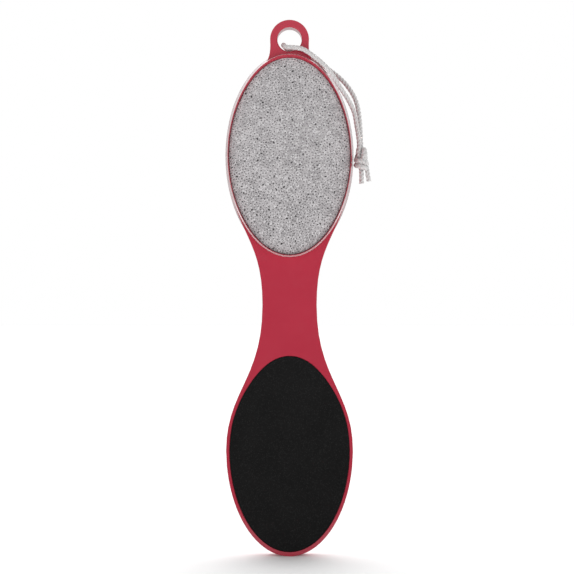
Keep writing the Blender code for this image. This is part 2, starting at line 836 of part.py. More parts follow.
red_plastic = make_material("red_plastic", (0.42, 0.022, 0.045), 0.28)
pumice = make_material("pumice", (0.48, 0.46, 0.47), 0.95)
glue = make_material("glue", (0.75, 0.70, 0.55), 0.4)
emery = make_material("emery", (0.012, 0.012, 0.012), 0.85)
tape = make_material("tape", (0.80, 0.80, 0.78), 0.6)
brush_plastic = make_material("brush_plastic", (0.42, 0.022, 0.045), 0.35)
nylon = make_material("nylon", (0.82, 0.82, 0.80), 0.45)
steel = make_material("steel", (0.62, 0.62, 0.63), 0.3, 1.0)
cotton = make_material("cotton", (0.66, 0.63, 0.61), 0.9)

paddle = bpy.data.objects.new("paddle", None)
parts.objects.link(paddle)
cord_swing = bpy.data.objects.new("cord_swing", None)
cord_swing.parent = paddle
parts.objects.link(cord_swing)

make_body(paddle)
make_stone(paddle)
make_emery_pad(paddle)
make_brush(paddle)
make_file(paddle)
make_cord(cord_swing)
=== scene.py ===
# %% [markdown]
# # Dressing a foot paddle
# This lesson takes a model of a foot paddle whose sizes are already settled, and gives it its looks: a
# moulded red body, a pumice stone, an emery pad, a nail brush, a steel file and a twisted cord. Each
# step says what the piece is on the real object, how it could be made and which way is taken. Every
# length is in metres, and the stone faces -Y.

# %% Load the model
import json
import math
import random

import bmesh
import bpy
import numpy as np
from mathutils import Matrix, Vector, geometry, noise


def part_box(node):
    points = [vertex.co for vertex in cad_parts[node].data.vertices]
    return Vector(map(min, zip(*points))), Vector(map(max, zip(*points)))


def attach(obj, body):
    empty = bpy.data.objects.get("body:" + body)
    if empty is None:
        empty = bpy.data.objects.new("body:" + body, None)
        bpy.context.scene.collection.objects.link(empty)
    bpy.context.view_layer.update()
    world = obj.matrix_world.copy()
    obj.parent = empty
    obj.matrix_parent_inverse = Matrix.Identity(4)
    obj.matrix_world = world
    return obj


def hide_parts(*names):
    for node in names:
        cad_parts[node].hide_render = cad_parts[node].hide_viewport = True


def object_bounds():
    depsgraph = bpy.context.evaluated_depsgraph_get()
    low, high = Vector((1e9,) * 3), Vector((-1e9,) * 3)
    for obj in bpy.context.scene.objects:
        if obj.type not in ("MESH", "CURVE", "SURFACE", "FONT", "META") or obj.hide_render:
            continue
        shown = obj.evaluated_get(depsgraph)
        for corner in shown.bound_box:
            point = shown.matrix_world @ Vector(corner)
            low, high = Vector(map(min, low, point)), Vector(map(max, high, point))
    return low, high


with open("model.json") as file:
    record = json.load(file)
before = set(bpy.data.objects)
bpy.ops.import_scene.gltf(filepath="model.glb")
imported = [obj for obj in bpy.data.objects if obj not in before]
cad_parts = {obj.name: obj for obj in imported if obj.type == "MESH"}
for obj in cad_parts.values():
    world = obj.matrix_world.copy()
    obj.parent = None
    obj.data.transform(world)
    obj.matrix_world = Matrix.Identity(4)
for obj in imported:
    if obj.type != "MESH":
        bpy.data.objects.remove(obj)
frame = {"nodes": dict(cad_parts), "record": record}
cad_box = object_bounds()
mounts = {mount["name"]: mount for mount in frame["record"]["mounts"]}
front_face_y = mounts["handle_front_face"]["pos_m"][1]
print("nodes:", len(frame["nodes"]), "front face at y", front_face_y)

# %% [markdown]
# The photograph looks at the paddle square on, with the lens level with the top of the handle. A long
# lens keeps the oval heads from swelling. The distance was found from how much of the hole's inner wall
# shows at the top of the ring, which only a near camera can see.

# %% Camera
CAMERA_DISTANCE = 0.5200
CAMERA_SIDE = -0.00114
CAMERA_HEIGHT = -0.1108
CAMERA_LENS = 72.93
SENSOR_WIDTH = 36.0

lens = bpy.data.cameras.new("portrait_camera")
lens.lens = CAMERA_LENS
lens.sensor_width = SENSOR_WIDTH
camera = bpy.data.objects.new("portrait_camera", lens)
camera.location = (CAMERA_SIDE, front_face_y - CAMERA_DISTANCE, CAMERA_HEIGHT)
camera.rotation_euler = (math.pi / 2, 0, 0)
bpy.context.scene.collection.objects.link(camera)
bpy.context.scene.camera = camera
print("camera at", tuple(round(v, 4) for v in camera.location))

# %% [markdown]
# ## The cord
# The hanging cord is two millimetres of off-white cotton, three strands laid together. It runs up in
# front of the shoulder, through the ring and down again behind, and both ends are tied in one knot. A
# plain tube would look like wire. So one smooth line is drawn through the whole cord, from one cut end
# to the other, and rings with three lobes are set along it, each turned a little further than the last.

# %% The cord's route
CORD_DIAMETER = 0.0020
KNOT_CENTRE = Vector((0.0324, 0.0, -0.0530))

# The free loop, from above the knot up in front of the ring, through its hole and down behind
LOOP_ROUTE = [
    (0.0310, -0.0010, -0.0436), (0.0302, -0.0010, -0.0386), (0.0290, -0.0018, -0.0326),
    (0.0263, -0.0030, -0.0271), (0.0228, -0.0044, -0.0220), (0.0191, -0.0055, -0.0165),
    (0.0157, -0.0061, -0.0124), (0.0113, -0.0061, -0.0085), (0.0068, -0.0054, -0.0053),
    (0.0040, -0.0049, -0.0043), (0.0012, -0.0045, -0.0039), (-0.0013, -0.0036, -0.0036),
    (-0.0026, -0.0014, -0.0025), (-0.0025, 0.0008, -0.0018), (-0.0019, 0.0029, -0.0026),
    (0.0002, 0.0045, -0.0035), (0.0042, 0.0048, -0.0039), (0.0092, 0.0048, -0.0056),
    (0.0131, 0.0045, -0.0087), (0.0173, 0.0038, -0.0118), (0.0228, 0.0026, -0.0164),
    (0.0262, 0.0020, -0.0202), (0.0288, 0.0015, -0.0243), (0.0304, 0.0012, -0.0284),
    (0.0314, 0.0010, -0.0337), (0.0319, 0.0009, -0.0400),
]

# Where the two stretches enter the knot, and where its tails leave it, from the knot's centre
KNOT_TOP = 0.0055
KNOT_BOTTOM = -0.0055
FRONT_ENTRY = (-0.0011, -0.00105, KNOT_TOP)
BACK_ENTRY = (-0.0002, 0.00105, KNOT_TOP)

# The front stretch goes straight down through the knot and out as the left tail
CORE_ROUTE = [
    (0.0000, 0.0000, -0.0113), (0.0000, 0.0000, -0.0085), (-0.0001, 0.0000, KNOT_BOTTOM),
    (-0.0004, 0.0000, -0.0028), (-0.0010, -0.0003, -0.0002), (-0.0014, -0.0008, 0.0026),
]

# The back stretch winds twice round it, turns over an ear and leaves as the right tail
WRAP_ROUTE = [
    (-0.0006, 0.0013, 0.0036), (-0.0013, 0.0014, 0.0018), (-0.0019, 0.0009, 0.0003),
    (-0.0022, -0.0011, -0.0012), (-0.0006, -0.0024, -0.0014), (0.0016, -0.0017, -0.0021),
    (0.0019, 0.0006, -0.0026), (0.0000, 0.0020, -0.0028), (-0.0018, 0.0014, -0.0028),
    (-0.0023, -0.0010, -0.0032), (-0.0009, -0.0023, -0.0037), (0.0008, -0.0023, -0.0042),
    (0.0020, -0.0005, -0.0044), (0.0021, 0.0014, -0.0030), (0.0017, 0.0021, -0.0008),
    (0.0016, 0.0018, 0.0014), (0.0013, 0.0008, 0.0034), (0.0011, -0.0008, 0.0039),
    (0.0012, -0.0020, 0.0027), (0.0011, -0.0023, 0.0009), (0.0008, -0.0019, -0.0006),
    (0.0011, -0.0008, -0.0022), (0.0019, 0.0000, -0.0040), (0.0025, 0.0000, KNOT_BOTTOM),
    (0.0029, 0.0000, -0.0080), (0.0033, 0.0000, -0.0103),
]


def from_knot(route):
    """A route that was written from the knot's centre, moved to its place."""
    return [KNOT_CENTRE + Vector(point) for point in route]


def smooth_line(route, spacing, steps=16):
    """Evenly spaced points on one smooth curve through a route's points."""
    knots = [Vector(point) for point in route]
    knots = [2 * knots[0] - knots[1]] + knots + [2 * knots[-1] - knots[-2]]
    fine = [knots[1]]
    for a, b, c, d in zip(knots, knots[1:], knots[2:], knots[3:]):
        for i in range(1, steps + 1):
            t = i / steps
            bend = (2 * a - 5 * b + 4 * c - d) * t * t + (3 * b - a - 3 * c + d) * t**3
            fine.append(b + (c - a) * t / 2 + bend / 2)
    fine = np.array(fine)
    along = np.concatenate([[0.0], np.cumsum(np.linalg.norm(np.diff(fine, axis=0), axis=1))])
    count = round(along[-1] / spacing)
    goals = np.linspace(0.0, along[-1], count + 1)
    return np.stack([np.interp(goals, along, fine[:, axis]) for axis in range(3)], axis=1), goals


RING_SPACING = 0.00022

whole_route = from_knot(CORE_ROUTE) + from_knot([FRONT_ENTRY]) + [Vector(p) for p in LOOP_ROUTE]
whole_route += from_knot([BACK_ENTRY]) + from_knot(WRAP_ROUTE)
cord_line, cord_along = smooth_line(whole_route, RING_SPACING)
print("whole cord:", round(float(cord_along[-1]), 4), "m in", len(cord_line), "rings")

# %% [markdown]
# Each ring is the outline of three round strands seen end on, with the valleys softened as cotton
# softens them. A frame that slides along the line without spinning keeps the twist even through the
# bends. The angle without the twist is stored too, because the fibres of laid cotton run nearly
# straight along the cord, and the material needs to know that direction.

# %% Three strands laid together
STRANDS = 3
ROPE_POINTS = 42
ROPE_PITCH = 0.0052
ROPE_FULLNESS = 1.07
KNOT_FULLNESS = 0.20
KNOT_REACH = 0.0052
KNOT_BLEND = 0.0015
VALLEY_DEPTH = 0.20
VALLEY_SHARPNESS = 4
CUT_FLARE = 0.10
CUT_FLARE_LENGTH = 0.0012


def lay_rope(line, along):
    """Rings of a three-strand cord along a line, and the direction of its fibres at each point."""
    tangents = np.gradient(line, axis=0)
    tangents /= np.linalg.norm(tangents, axis=1)[:, None]
    side = np.cross(tangents[0], (0.0, 1.0, 0.0))
    around = np.linspace(0.0, 2 * math.pi, ROPE_POINTS, endpoint=False)
    ends = np.minimum(along, along[-1] - along)
    flare = 1 + CUT_FLARE * np.clip(1 - ends / CUT_FLARE_LENGTH, 0, 1) ** 2
    from_centre = np.linalg.norm(line - np.array(KNOT_CENTRE), axis=1)
    flare = flare + KNOT_FULLNESS * np.clip((KNOT_REACH - from_centre) / KNOT_BLEND, 0, 1)
    rings = []
    for i, tangent in enumerate(tangents):
        side = side - tangent * np.dot(side, tangent)
        side /= np.linalg.norm(side)
        other = np.cross(tangent, side)
        lobe = np.abs(np.sin(STRANDS / 2 * (around - 2 * math.pi * along[i] / ROPE_PITCH)))
        bulge = ROPE_FULLNESS * (1 - VALLEY_DEPTH * lobe**VALLEY_SHARPNESS)
        radius = CORD_DIAMETER / 2 * flare[i] * bulge
        spokes = np.cos(around)[:, None] * side + np.sin(around)[:, None] * other
        rings.append(line[i] + radius[:, None] * spokes)
    fibres = np.zeros((len(line), ROPE_POINTS, 3))
    fibres[:, :, 0] = np.cos(around)
    fibres[:, :, 1] = np.sin(around)
    fibres[:, :, 2] = along[:, None]
    return np.array(rings), fibres


rope_rings, rope_fibres = lay_rope(cord_line, cord_along)
print("rope points:", rope_rings.shape)

# %% [markdown]
# A mesh made from thousands of computed points is quickest to hand over as one list of points and one
# list of faces. This helper makes every dense piece of the lesson, and stores extra numbers on the
# points where a material wants to read them.

# %% A helper that makes meshes
def add_piece(name, points, faces, body, replaces, numbers=None):
    """A smooth mesh object that rides on a body and stands for model nodes, which it hides."""
    mesh = bpy.data.meshes.new(name)
    mesh.from_pydata([tuple(p) for p in points], [], [tuple(f) for f in faces])
    for label, values in (numbers or {}).items():
        values = np.asarray(values, dtype=np.float32)
        kind = "FLOAT_VECTOR" if values.ndim == 2 else "FLOAT"
        field = mesh.attributes.new(label, kind, "POINT")
        field.data.foreach_set("vector" if values.ndim == 2 else "value", values.ravel())
    mesh.validate()
    mesh.shade_smooth()
    made = bpy.data.objects.new(name, mesh)
    bpy.context.scene.collection.objects.link(made)
    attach(made, body)
    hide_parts(*replaces)
    print(name, "faces:", len(mesh.polygons))
    return made


def tube_faces(rings, points, first):
    """Four-sided faces between neighbouring rings, and one flat cap at each end."""
    faces = []
    for i in range(rings - 1):
        for j in range(points):
            k = (j + 1) % points
            low = first + i * points
            high = low + points
            faces.append((low + j, low + k, high + k, high + j))
    faces.append(tuple(first + j for j in reversed(range(points))))
    last = first + (rings - 1) * points
    faces.append(tuple(last + j for j in range(points)))
    return faces


# %% Cut the cord into loop, knot and tails
entry_height = KNOT_CENTRE.z + KNOT_TOP
exit_height = KNOT_CENTRE.z + KNOT_BOTTOM
loop_start, loop_end = np.flatnonzero(cord_line[:, 2] >= entry_height)[[0, -1]]
left_end, right_start = np.flatnonzero(cord_line[:, 2] >= exit_height)[[0, -1]]


def rope_piece(name, node, *spans):
    """One object from one or more spans of the whole rope's rings, in place of a model node."""
    points = []
    fibres = []
    faces = []
    for start, stop in spans:
        rings = rope_rings[start : stop + 1]
        faces += tube_faces(len(rings), ROPE_POINTS, len(points))
        points += rings.reshape(-1, 3).tolist()
        fibres += rope_fibres[start : stop + 1].reshape(-1, 3).tolist()
    return add_piece(name, points, faces, "cord", [node], {"fibre_space": np.array(fibres)})


hanging_loop = rope_piece("hanging_loop", "cord_loop", (loop_start, loop_end))
tied_knot = rope_piece("tied_knot", "cord_knot", (left_end, loop_start), (loop_end, right_start))
left_tail = rope_piece("cut_tail_left", "cord_tail_left", (0, left_end))
right_tail = rope_piece("cut_tail_right", "cord_tail_right", (right_start, len(cord_line) - 1))

# %% [markdown]
# ## The pumice stone
# The stone is a low dome of foamed glass, full of small bubbles that were cut open when it was ground.
# A bump map would keep a clean outline and flat pits, so the bubbles are pressed into a dense mesh. The
# mesh is a square grid bent into an oval, which keeps its cells nearly even from the middle to the rim.

# %% A grid bent into an oval
def disc_grid(columns, rows):
    """A square grid bent into a unit disc: its points across and down, its faces and its rim."""
    across, down = np.meshgrid(np.linspace(-1, 1, columns + 1), np.linspace(-1, 1, rows + 1))
    wide = np.abs(across) >= np.abs(down)
    safe_across = np.where(across == 0, 1, across)
    safe_down = np.where(down == 0, 1, down)
    reach = np.where(wide, across, down)
    turn_wide = math.pi / 4 * (down / safe_across)
    turn = np.where(wide, turn_wide, math.pi / 2 - math.pi / 4 * across / safe_down)
    x = reach * np.cos(turn)
    z = reach * np.sin(turn)
    line = np.arange((rows + 1) * (columns + 1)).reshape(rows + 1, columns + 1)
    faces = np.stack([line[:-1, :-1], line[:-1, 1:], line[1:, 1:], line[1:, :-1]], axis=-1)
    rim = np.concatenate([line[0, :-1], line[:-1, -1], line[-1, :0:-1], line[:0:-1, 0]])
    return x.ravel(), z.ravel(), faces.reshape(-1, 4), rim


print("a small one:", len(disc_grid(4, 6)[0]), "points")

# %% [markdown]
# The dome is drawn the way the stone is ground: a quarter round at its shoulder, then a crown that
# flattens towards the middle. Both depend on how far a point lies inside the rim, so that distance is
# found first, by halving an interval until the shrunken oval passes through the point.

# %% The stone's dome
STONE_SIDE = 0.0041
STONE_SHOULDER = 0.0005
STONE_CROWN = 0.0022
HALVINGS = 30
NEARLY_ALL = 0.9999

stone_low, stone_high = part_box("pumice_stone")
stone_half = (stone_high - stone_low) / 2


def inset_of(x, z, half):
    """How far points lie inside the rim of an oval, as the inset of the oval through each point."""
    low = np.zeros_like(x)
    high = np.full_like(x, half.x * NEARLY_ALL)
    for _ in range(HALVINGS):
        guess = (low + high) / 2
        outside = (x / (half.x - guess)) ** 2 + (z / (half.z - guess)) ** 2 > 1
        high = np.where(outside, guess, high)
        low = np.where(outside, low, guess)
    return (low + high) / 2


def dome_depth(inset, half_width):
    """The stone's front at an inset, measured forwards from its flat back."""
    rounded = np.clip(STONE_SHOULDER - inset, 0, STONE_SHOULDER)
    shoulder = np.sqrt(STONE_SHOULDER**2 - rounded**2)
    share = np.clip((inset - STONE_SHOULDER) / (half_width - STONE_SHOULDER), 0, 1)
    return STONE_SIDE + shoulder + STONE_CROWN * (1 - (1 - share) ** 2)


print("stone crown at y", round(stone_high.y - float(dome_depth(stone_half.x, stone_half.x)), 4))

# %% [markdown]
# Bubbles in real pumice are drawn out when the foam flows, so most are ovals about twice as long as
# wide, lying every way. They are stamped into a height picture, a plain table of depths over the stone,
# and the mesh then reads that picture. The random numbers start from a fixed seed, so the stone is the
# same each time.

# %% Open bubbles
PORE_SEED = 7
PICTURE_STEP = 0.00008
PORE_GROUPS = (
    # how many, half length from and to, half width from and to, depth from and to, least distance
    (90, 0.00045, 0.00070, 0.00028, 0.00040, 0.00055, 0.00090, 0.0030),
    (1900, 0.00028, 0.00045, 0.00021, 0.00031, 0.00030, 0.00055, 0.0011),
    (3000, 0.00016, 0.00026, 0.00013, 0.00020, 0.00014, 0.00028, 0.0007),
)
PICTURE_MARGIN = 0.0010
TRIES_FOR_ONE = 30
SHALLOWEST_PORE = 0.0001

# A bubble's edge has three broad waves and five short ones, in shares of its size, and a sloping wall
BROAD_WAVE = 0.10
SHORT_WAVE = 0.06
PORE_BRIM = 1.06
PORE_WALL = 0.34
WINDOW_REACH = 1.3


def stamp_one(picture, half, x, z, pore):
    """Presses one bubble, an oval with a wavy edge and steep sides, into the table."""
    half_long, half_wide, depth, tilt, wave = pore
    reach = int(half_long * WINDOW_REACH / PICTURE_STEP) + 2
    column = int((x + half.x + PICTURE_MARGIN) / PICTURE_STEP)
    row = int((z + half.z + PICTURE_MARGIN) / PICTURE_STEP)
    rows = slice(max(row - reach, 0), row + reach + 1)
    columns = slice(max(column - reach, 0), column + reach + 1)
    window = picture[rows, columns]
    dz, dx = np.meshgrid(
        (np.arange(window.shape[0]) + rows.start - row) * PICTURE_STEP,
        (np.arange(window.shape[1]) + columns.start - column) * PICTURE_STEP,
        indexing="ij",
    )
    along = dx * math.cos(tilt) + dz * math.sin(tilt)
    across = dz * math.cos(tilt) - dx * math.sin(tilt)
    turn = np.arctan2(across, along)
    edge = 1 + BROAD_WAVE * np.sin(3 * turn + wave) + SHORT_WAVE * np.sin(5 * turn + 2 * wave)
    away = np.hypot(along / half_long, across / half_wide) / edge
    fall = np.clip((PORE_BRIM - away) / PORE_WALL, 0, 1)
    np.maximum(window, depth * fall * fall * (3 - 2 * fall), out=window)


def stamp_pores(half):
    """A table of pore depths over the stone, one cell for each small step along X and Z."""
    dice = random.Random(PORE_SEED)
    columns = int(2 * (half.x + PICTURE_MARGIN) / PICTURE_STEP)
    rows = int(2 * (half.z + PICTURE_MARGIN) / PICTURE_STEP)
    picture = np.zeros((rows, columns))
    taken = {}
    cell = PORE_GROUPS[0][-1]
    for count, long_low, long_high, wide_low, wide_high, deep_low, deep_high, apart in PORE_GROUPS:
        made = 0
        tries = 0
        while made < count and tries < count * TRIES_FOR_ONE:
            tries += 1
            x = dice.uniform(-half.x, half.x)
            z = dice.uniform(-half.z, half.z)
            if (x / half.x) ** 2 + (z / half.z) ** 2 > 1:
                continue
            spot = (int(x // cell), int(z // cell))
            squares = [(spot[0] + i, spot[1] + j) for i in (-1, 0, 1) for j in (-1, 0, 1)]
            near = [place for square in squares for place in taken.get(square, ())]
            if any((x - a) ** 2 + (z - b) ** 2 < apart * apart for a, b in near):
                continue
            taken.setdefault(spot, []).append((x, z))
            made += 1
            pore = (
                dice.uniform(long_low, long_high),
                dice.uniform(wide_low, wide_high),
                dice.uniform(deep_low, deep_high),
                dice.uniform(0, math.pi),
                dice.uniform(0, 2 * math.pi),
            )
            stamp_one(picture, half, x, z, pore)
    return picture


pore_picture = stamp_pores(stone_half)
print("share that is pore:", round(float((pore_picture > SHALLOWEST_PORE).mean()), 3))

# %% [markdown]
# The stone, the emery pad, the steel file and the brush's plate are all flat pieces with a shaped face,
# so one helper builds them. It bends the grid into the model node's own outline, asks for the height of
# the face at each point, and adds the side walls and a flat back.

# %% A slab with a shaped face
FRONT = -1
BACK = 1
SIDE_ROWS = 3
SAME_HEIGHT = 0.00005
RIM_SHARE = 0.8


def thickness_of(node):
    """How thick a model node is from front to back."""
    low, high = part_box(node)
    return high.y - low.y


def rim_of(node, half, middle, back_y):
    """Turn and reach of a model node's outline, both in units of its half width and half length."""
    places = {}
    for point in frame["nodes"][node].data.vertices:
        if abs(point.co.y - back_y) < SAME_HEIGHT:
            u = (point.co.x - middle.x) / half.x
            w = (point.co.z - middle.z) / half.z
            if math.hypot(u, w) > RIM_SHARE:
                places[round(math.atan2(w, u), 4)] = math.hypot(u, w)
    turns = np.array(sorted(places))
    return turns, np.array([places[turn] for turn in turns])


def add_slab(name, node, facing, cells, shape, label=None, ease=0.0):
    """A slab in place of a node, eased outwards a little if asked. Its shape is a function that gives
    each point's height over the back and a number, which is stored on the points if it has a label."""
    low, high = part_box(node)
    half = (high - low) / 2
    middle = (high + low) / 2
    back_y = high.y if facing < 0 else low.y
    u, w, faces, rim = disc_grid(*cells)
    turns, reaches = rim_of(node, half, middle, back_y)
    reach = np.interp(np.arctan2(w, u), turns, reaches, period=2 * math.pi)
    x = u * reach * (half.x + ease)
    z = w * reach * (half.z + ease)
    inset = inset_of(u * half.x, w * half.z, half)
    height, number = shape(x, z, inset, half)
    points = np.stack([x + middle.x, back_y + facing * height, z + middle.z], axis=1)
    walls = []
    for i in range(1, SIDE_ROWS + 1):
        row = points[rim].copy()
        row[:, 1] += (back_y - row[:, 1]) * i / SIDE_ROWS
        walls.append(row)
    all_faces = [tuple(face) for face in faces.tolist()]
    before = rim.tolist()
    for i in range(SIDE_ROWS):
        after = list(range(len(points) + i * len(rim), len(points) + (i + 1) * len(rim)))
        for j in range(len(rim)):
            k = (j + 1) % len(rim)
            all_faces.append((before[k], before[j], after[j], after[k]))
        before = after
    all_faces.append(tuple(before))
    if facing > 0:
        all_faces = [face[::-1] for face in all_faces]
    points = np.concatenate([points] + walls)
    numbers = {label: np.concatenate([number, np.zeros(SIDE_ROWS * len(rim))])} if label else None
    return add_piece(name, points, all_faces, "paddle", [node], numbers)


# %% The stone's mesh
STONE_CELLS = (330, 520)
LUMP_SIZE = 0.0016
LUMP_HEIGHT = 0.00006
GRAIN_HEIGHT = 0.000018
DEEP_PORE = 0.0008
STONE_EASE = 0.0004
RIM_DEPTH = 0.35


def read_picture(picture, x, z, half):
    """The table's value at any point, mixed from its four nearest cells."""
    u = (x + half.x + PICTURE_MARGIN) / PICTURE_STEP - 0.5
    v = (z + half.z + PICTURE_MARGIN) / PICTURE_STEP - 0.5
    column = np.clip(u.astype(int), 0, picture.shape[1] - 2)
    row = np.clip(v.astype(int), 0, picture.shape[0] - 2)
    s = u - column
    t = v - row
    low = picture[row, column] * (1 - s) + picture[row, column + 1] * s
    high = picture[row + 1, column] * (1 - s) + picture[row + 1, column + 1] * s
    return low * (1 - t) + high * t


def lumps_at(x, z, size):
    """Smooth random bumps of about one size, from -1 to 1."""
    return np.array([noise.noise(Vector((a, b, 0.0)) / size) for a, b in zip(x, z)])


def stone_shape(x, z, inset, half):
    """The dome less its bubbles, lumps and grains, and how deep each point lies in a bubble."""
    edge = np.clip(inset / STONE_SHOULDER, 0, 1)
    depth = read_picture(pore_picture, x, z, half) * (RIM_DEPTH + (1 - RIM_DEPTH) * edge)
    grains = np.random.default_rng(PORE_SEED).uniform(-1, 1, len(x)) * GRAIN_HEIGHT
    lumps = lumps_at(x, z, LUMP_SIZE) * LUMP_HEIGHT
    return dome_depth(inset, half.x) - depth - (lumps + grains) * edge, depth / DEEP_PORE


stone = add_slab(
    "ground_pumice", "pumice_stone", FRONT, STONE_CELLS, stone_shape, "pore_depth", STONE_EASE
)

# %% [markdown]
# ## The emery pad
# The pad is a sheet of coarse black grit. At arm's length the grit is a texture, but raking light finds
# each grain, so the grains are pressed into the mesh as small random bumps and the material adds the
# finest ones.

# %% Grit on the pad
PAD_SEED = 11
PAD_CELLS = (330, 540)
GRIT_SIZE = 0.00035
GRIT_HEIGHT = 0.00009
LOOSE_GRIT = 0.7
PAD_EDGE = 0.0005


def pad_shape(x, z, inset, half):
    """A flat sheet under rounded grains and a few sharp ones."""
    dice = np.random.default_rng(PAD_SEED)
    sharp = dice.uniform(0, 1, len(x)) ** 3
    grains = np.abs(lumps_at(x, z, GRIT_SIZE)) * GRIT_HEIGHT + sharp * GRIT_HEIGHT * LOOSE_GRIT
    edge = np.clip(inset / PAD_EDGE, 0, 1)
    return thickness_of("coarse_emery_pad") - GRIT_HEIGHT + grains * edge, grains / GRIT_HEIGHT


pad = add_slab("emery_sheet", "coarse_emery_pad", FRONT, PAD_CELLS, pad_shape)

# %% [markdown]
# ## The steel file
# The file on the back is a thin sheet of stainless steel with two crossing sets of slanted cuts. Where
# they cross they leave pointed teeth. The teeth stop short of a plain rim.

# %% Crossing cuts on the file
FILE_CELLS = (400, 700)
TOOTH_PITCH = 0.0013
TOOTH_ANGLE = 52.0
TOOTH_HEIGHT = 0.00032
TOOTH_RISE = 0.72
PLAIN_RIM = 0.0022
PLAIN_SUNK = 0.5
FIELD_FADE = 0.0004
RIM_ROUNDING = 0.00015


def saw(value):
    """Rises slowly and falls quickly, once for each whole number, like the edge of a file's tooth."""
    share = value - np.floor(value)
    return np.minimum(share / TOOTH_RISE, (1 - share) / (1 - TOOTH_RISE))


def file_shape(x, z, inset, half):
    """A sheet with two crossing rows of cuts inside a plain rim, and how near to a tip a point is."""
    lean = math.radians(TOOTH_ANGLE)
    first = (x * math.sin(lean) + z * math.cos(lean)) / TOOTH_PITCH
    second = (-x * math.sin(lean) + z * math.cos(lean)) / TOOTH_PITCH
    teeth = np.minimum(saw(first), saw(second))
    field = np.clip((inset - PLAIN_RIM) / FIELD_FADE, 0, 1)
    rounded = np.clip(1 - inset / RIM_ROUNDING, 0, 1) ** 2 * RIM_ROUNDING
    sunk = TOOTH_HEIGHT * (1 - teeth)
    height = thickness_of("metal_file") - rounded - sunk * field
    return height - TOOTH_HEIGHT * PLAIN_SUNK * (1 - field), teeth * field


steel_file = add_slab("cut_steel", "metal_file", BACK, FILE_CELLS, file_shape, "tooth")

# %% [markdown]
# ## The brush
# The nail brush on the back of the upper head has a moulded plate with staggered holes, and a tuft of
# nylon in each. Every tuft is about two dozen loose filaments that fan out a little and bend a little,
# each in its own way.

# %% The brush's plate
TUFT_PITCH = 0.0059
TUFT_MARGIN = 0.0034
HOLE_RADIUS = 0.00115
HOLE_DEPTH = 0.0006
HOLE_EDGE = 0.00025
PLATE_CELLS = (150, 250)
PLATE_ROUNDING = 0.0006
PLATE_TOP = 0.0034

plate_low, plate_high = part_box("brush_base")
plate_half = (plate_high - plate_low) / 2
plate_middle = (plate_high + plate_low) / 2
plate_top_y = plate_low.y + PLATE_TOP


def tuft_places():
    """Places for the tufts in staggered rows, inside an oval that keeps clear of the plate's rim."""
    places = []
    row_pitch = TUFT_PITCH * math.sqrt(3) / 2
    field_width = plate_half.x - TUFT_MARGIN
    field_length = plate_half.z - TUFT_MARGIN
    rows = int(field_length / row_pitch)
    columns = int(field_width / TUFT_PITCH) + 1
    for row in range(-rows, rows + 1):
        for column in range(-columns, columns + 1):
            x = (column + (0.5 if row % 2 else 0.0)) * TUFT_PITCH
            z = row * row_pitch
            if (x / field_width) ** 2 + (z / field_length) ** 2 <= 1:
                places.append((x, z))
    return places


tufts = tuft_places()


def plate_shape(x, z, inset, half):
    """A plate with a rounded rim and a shallow hole at each tuft, and where the holes are."""
    rounded = np.clip(1 - inset / PLATE_ROUNDING, 0, 1)
    height = PLATE_TOP - PLATE_ROUNDING * (1 - np.sqrt(1 - rounded**2))
    nearest = np.full(len(x), 1.0)
    for a, b in tufts:
        nearest = np.minimum(nearest, np.hypot(x - a, z - b))
    hole = np.clip((HOLE_RADIUS - nearest) / HOLE_EDGE, 0, 1)
    return height - HOLE_DEPTH * hole, hole


brush_plate = add_slab("brush_plate", "brush_base", BACK, PLATE_CELLS, plate_shape)
print("tufts:", len(tufts))

# %% The tufts
TUFT_SEED = 5
FILAMENTS = 24
FILAMENT_RADIUS = 0.00014
FILAMENT_SIDES = 5
FILAMENT_RINGS = 6
TUFT_ROOT_RADIUS = 0.00078
TUFT_TIP_RADIUS = 0.0016
TIP_SCATTER = 0.00035
TIP_TRIM = (0.00005, 0.0004)
FAN_CURVE = 1.4
BOW_SHARE = 0.6

bristle_top_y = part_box("brush_bristles")[1].y


def filament_mesh():
    """Every filament as a thin bent tube with a closed tip, and how far along it each point lies."""
    dice = random.Random(TUFT_SEED)
    points = []
    faces = []
    reach = []
    golden = math.pi * (3 - math.sqrt(5))
    for x, z in tufts:
        spin = dice.uniform(0, 2 * math.pi)
        for k in range(FILAMENTS):
            turn = spin + k * golden
            share = math.sqrt((k + 0.5) / FILAMENTS)
            spoke = Vector((math.cos(turn), 0, math.sin(turn)))
            root = Vector((x, 0, z)) + share * TUFT_ROOT_RADIUS * spoke
            tip = Vector((x, 0, z)) + share * TUFT_TIP_RADIUS * spoke
            tip += Vector((dice.gauss(0, TIP_SCATTER), 0, dice.gauss(0, TIP_SCATTER)))
            bow = Vector((dice.gauss(0, TIP_SCATTER), 0, dice.gauss(0, TIP_SCATTER)))
            root_y = plate_top_y - HOLE_DEPTH
            tip_y = bristle_top_y - dice.uniform(*TIP_TRIM)
            first = len(points)
            for i in range(FILAMENT_RINGS):
                s = i / (FILAMENT_RINGS - 1)
                centre = root.lerp(tip, s**FAN_CURVE) + bow * math.sin(math.pi * s) * BOW_SHARE
                centre.y = root_y + (tip_y - root_y) * s
                centre += Vector((plate_middle.x, 0, plate_middle.z))
                for j in range(FILAMENT_SIDES):
                    a = 2 * math.pi * j / FILAMENT_SIDES
                    points.append(centre + FILAMENT_RADIUS * Vector((math.cos(a), 0, math.sin(a))))
                    reach.append(s)
            faces += [face[::-1] for face in tube_faces(FILAMENT_RINGS, FILAMENT_SIDES, first)]
    return points, faces, np.array(reach)


points, faces, reach = filament_mesh()
filaments = add_piece(
    "nylon_tufts", points, faces, "paddle", ["brush_bristles"], {"reach": reach}
)

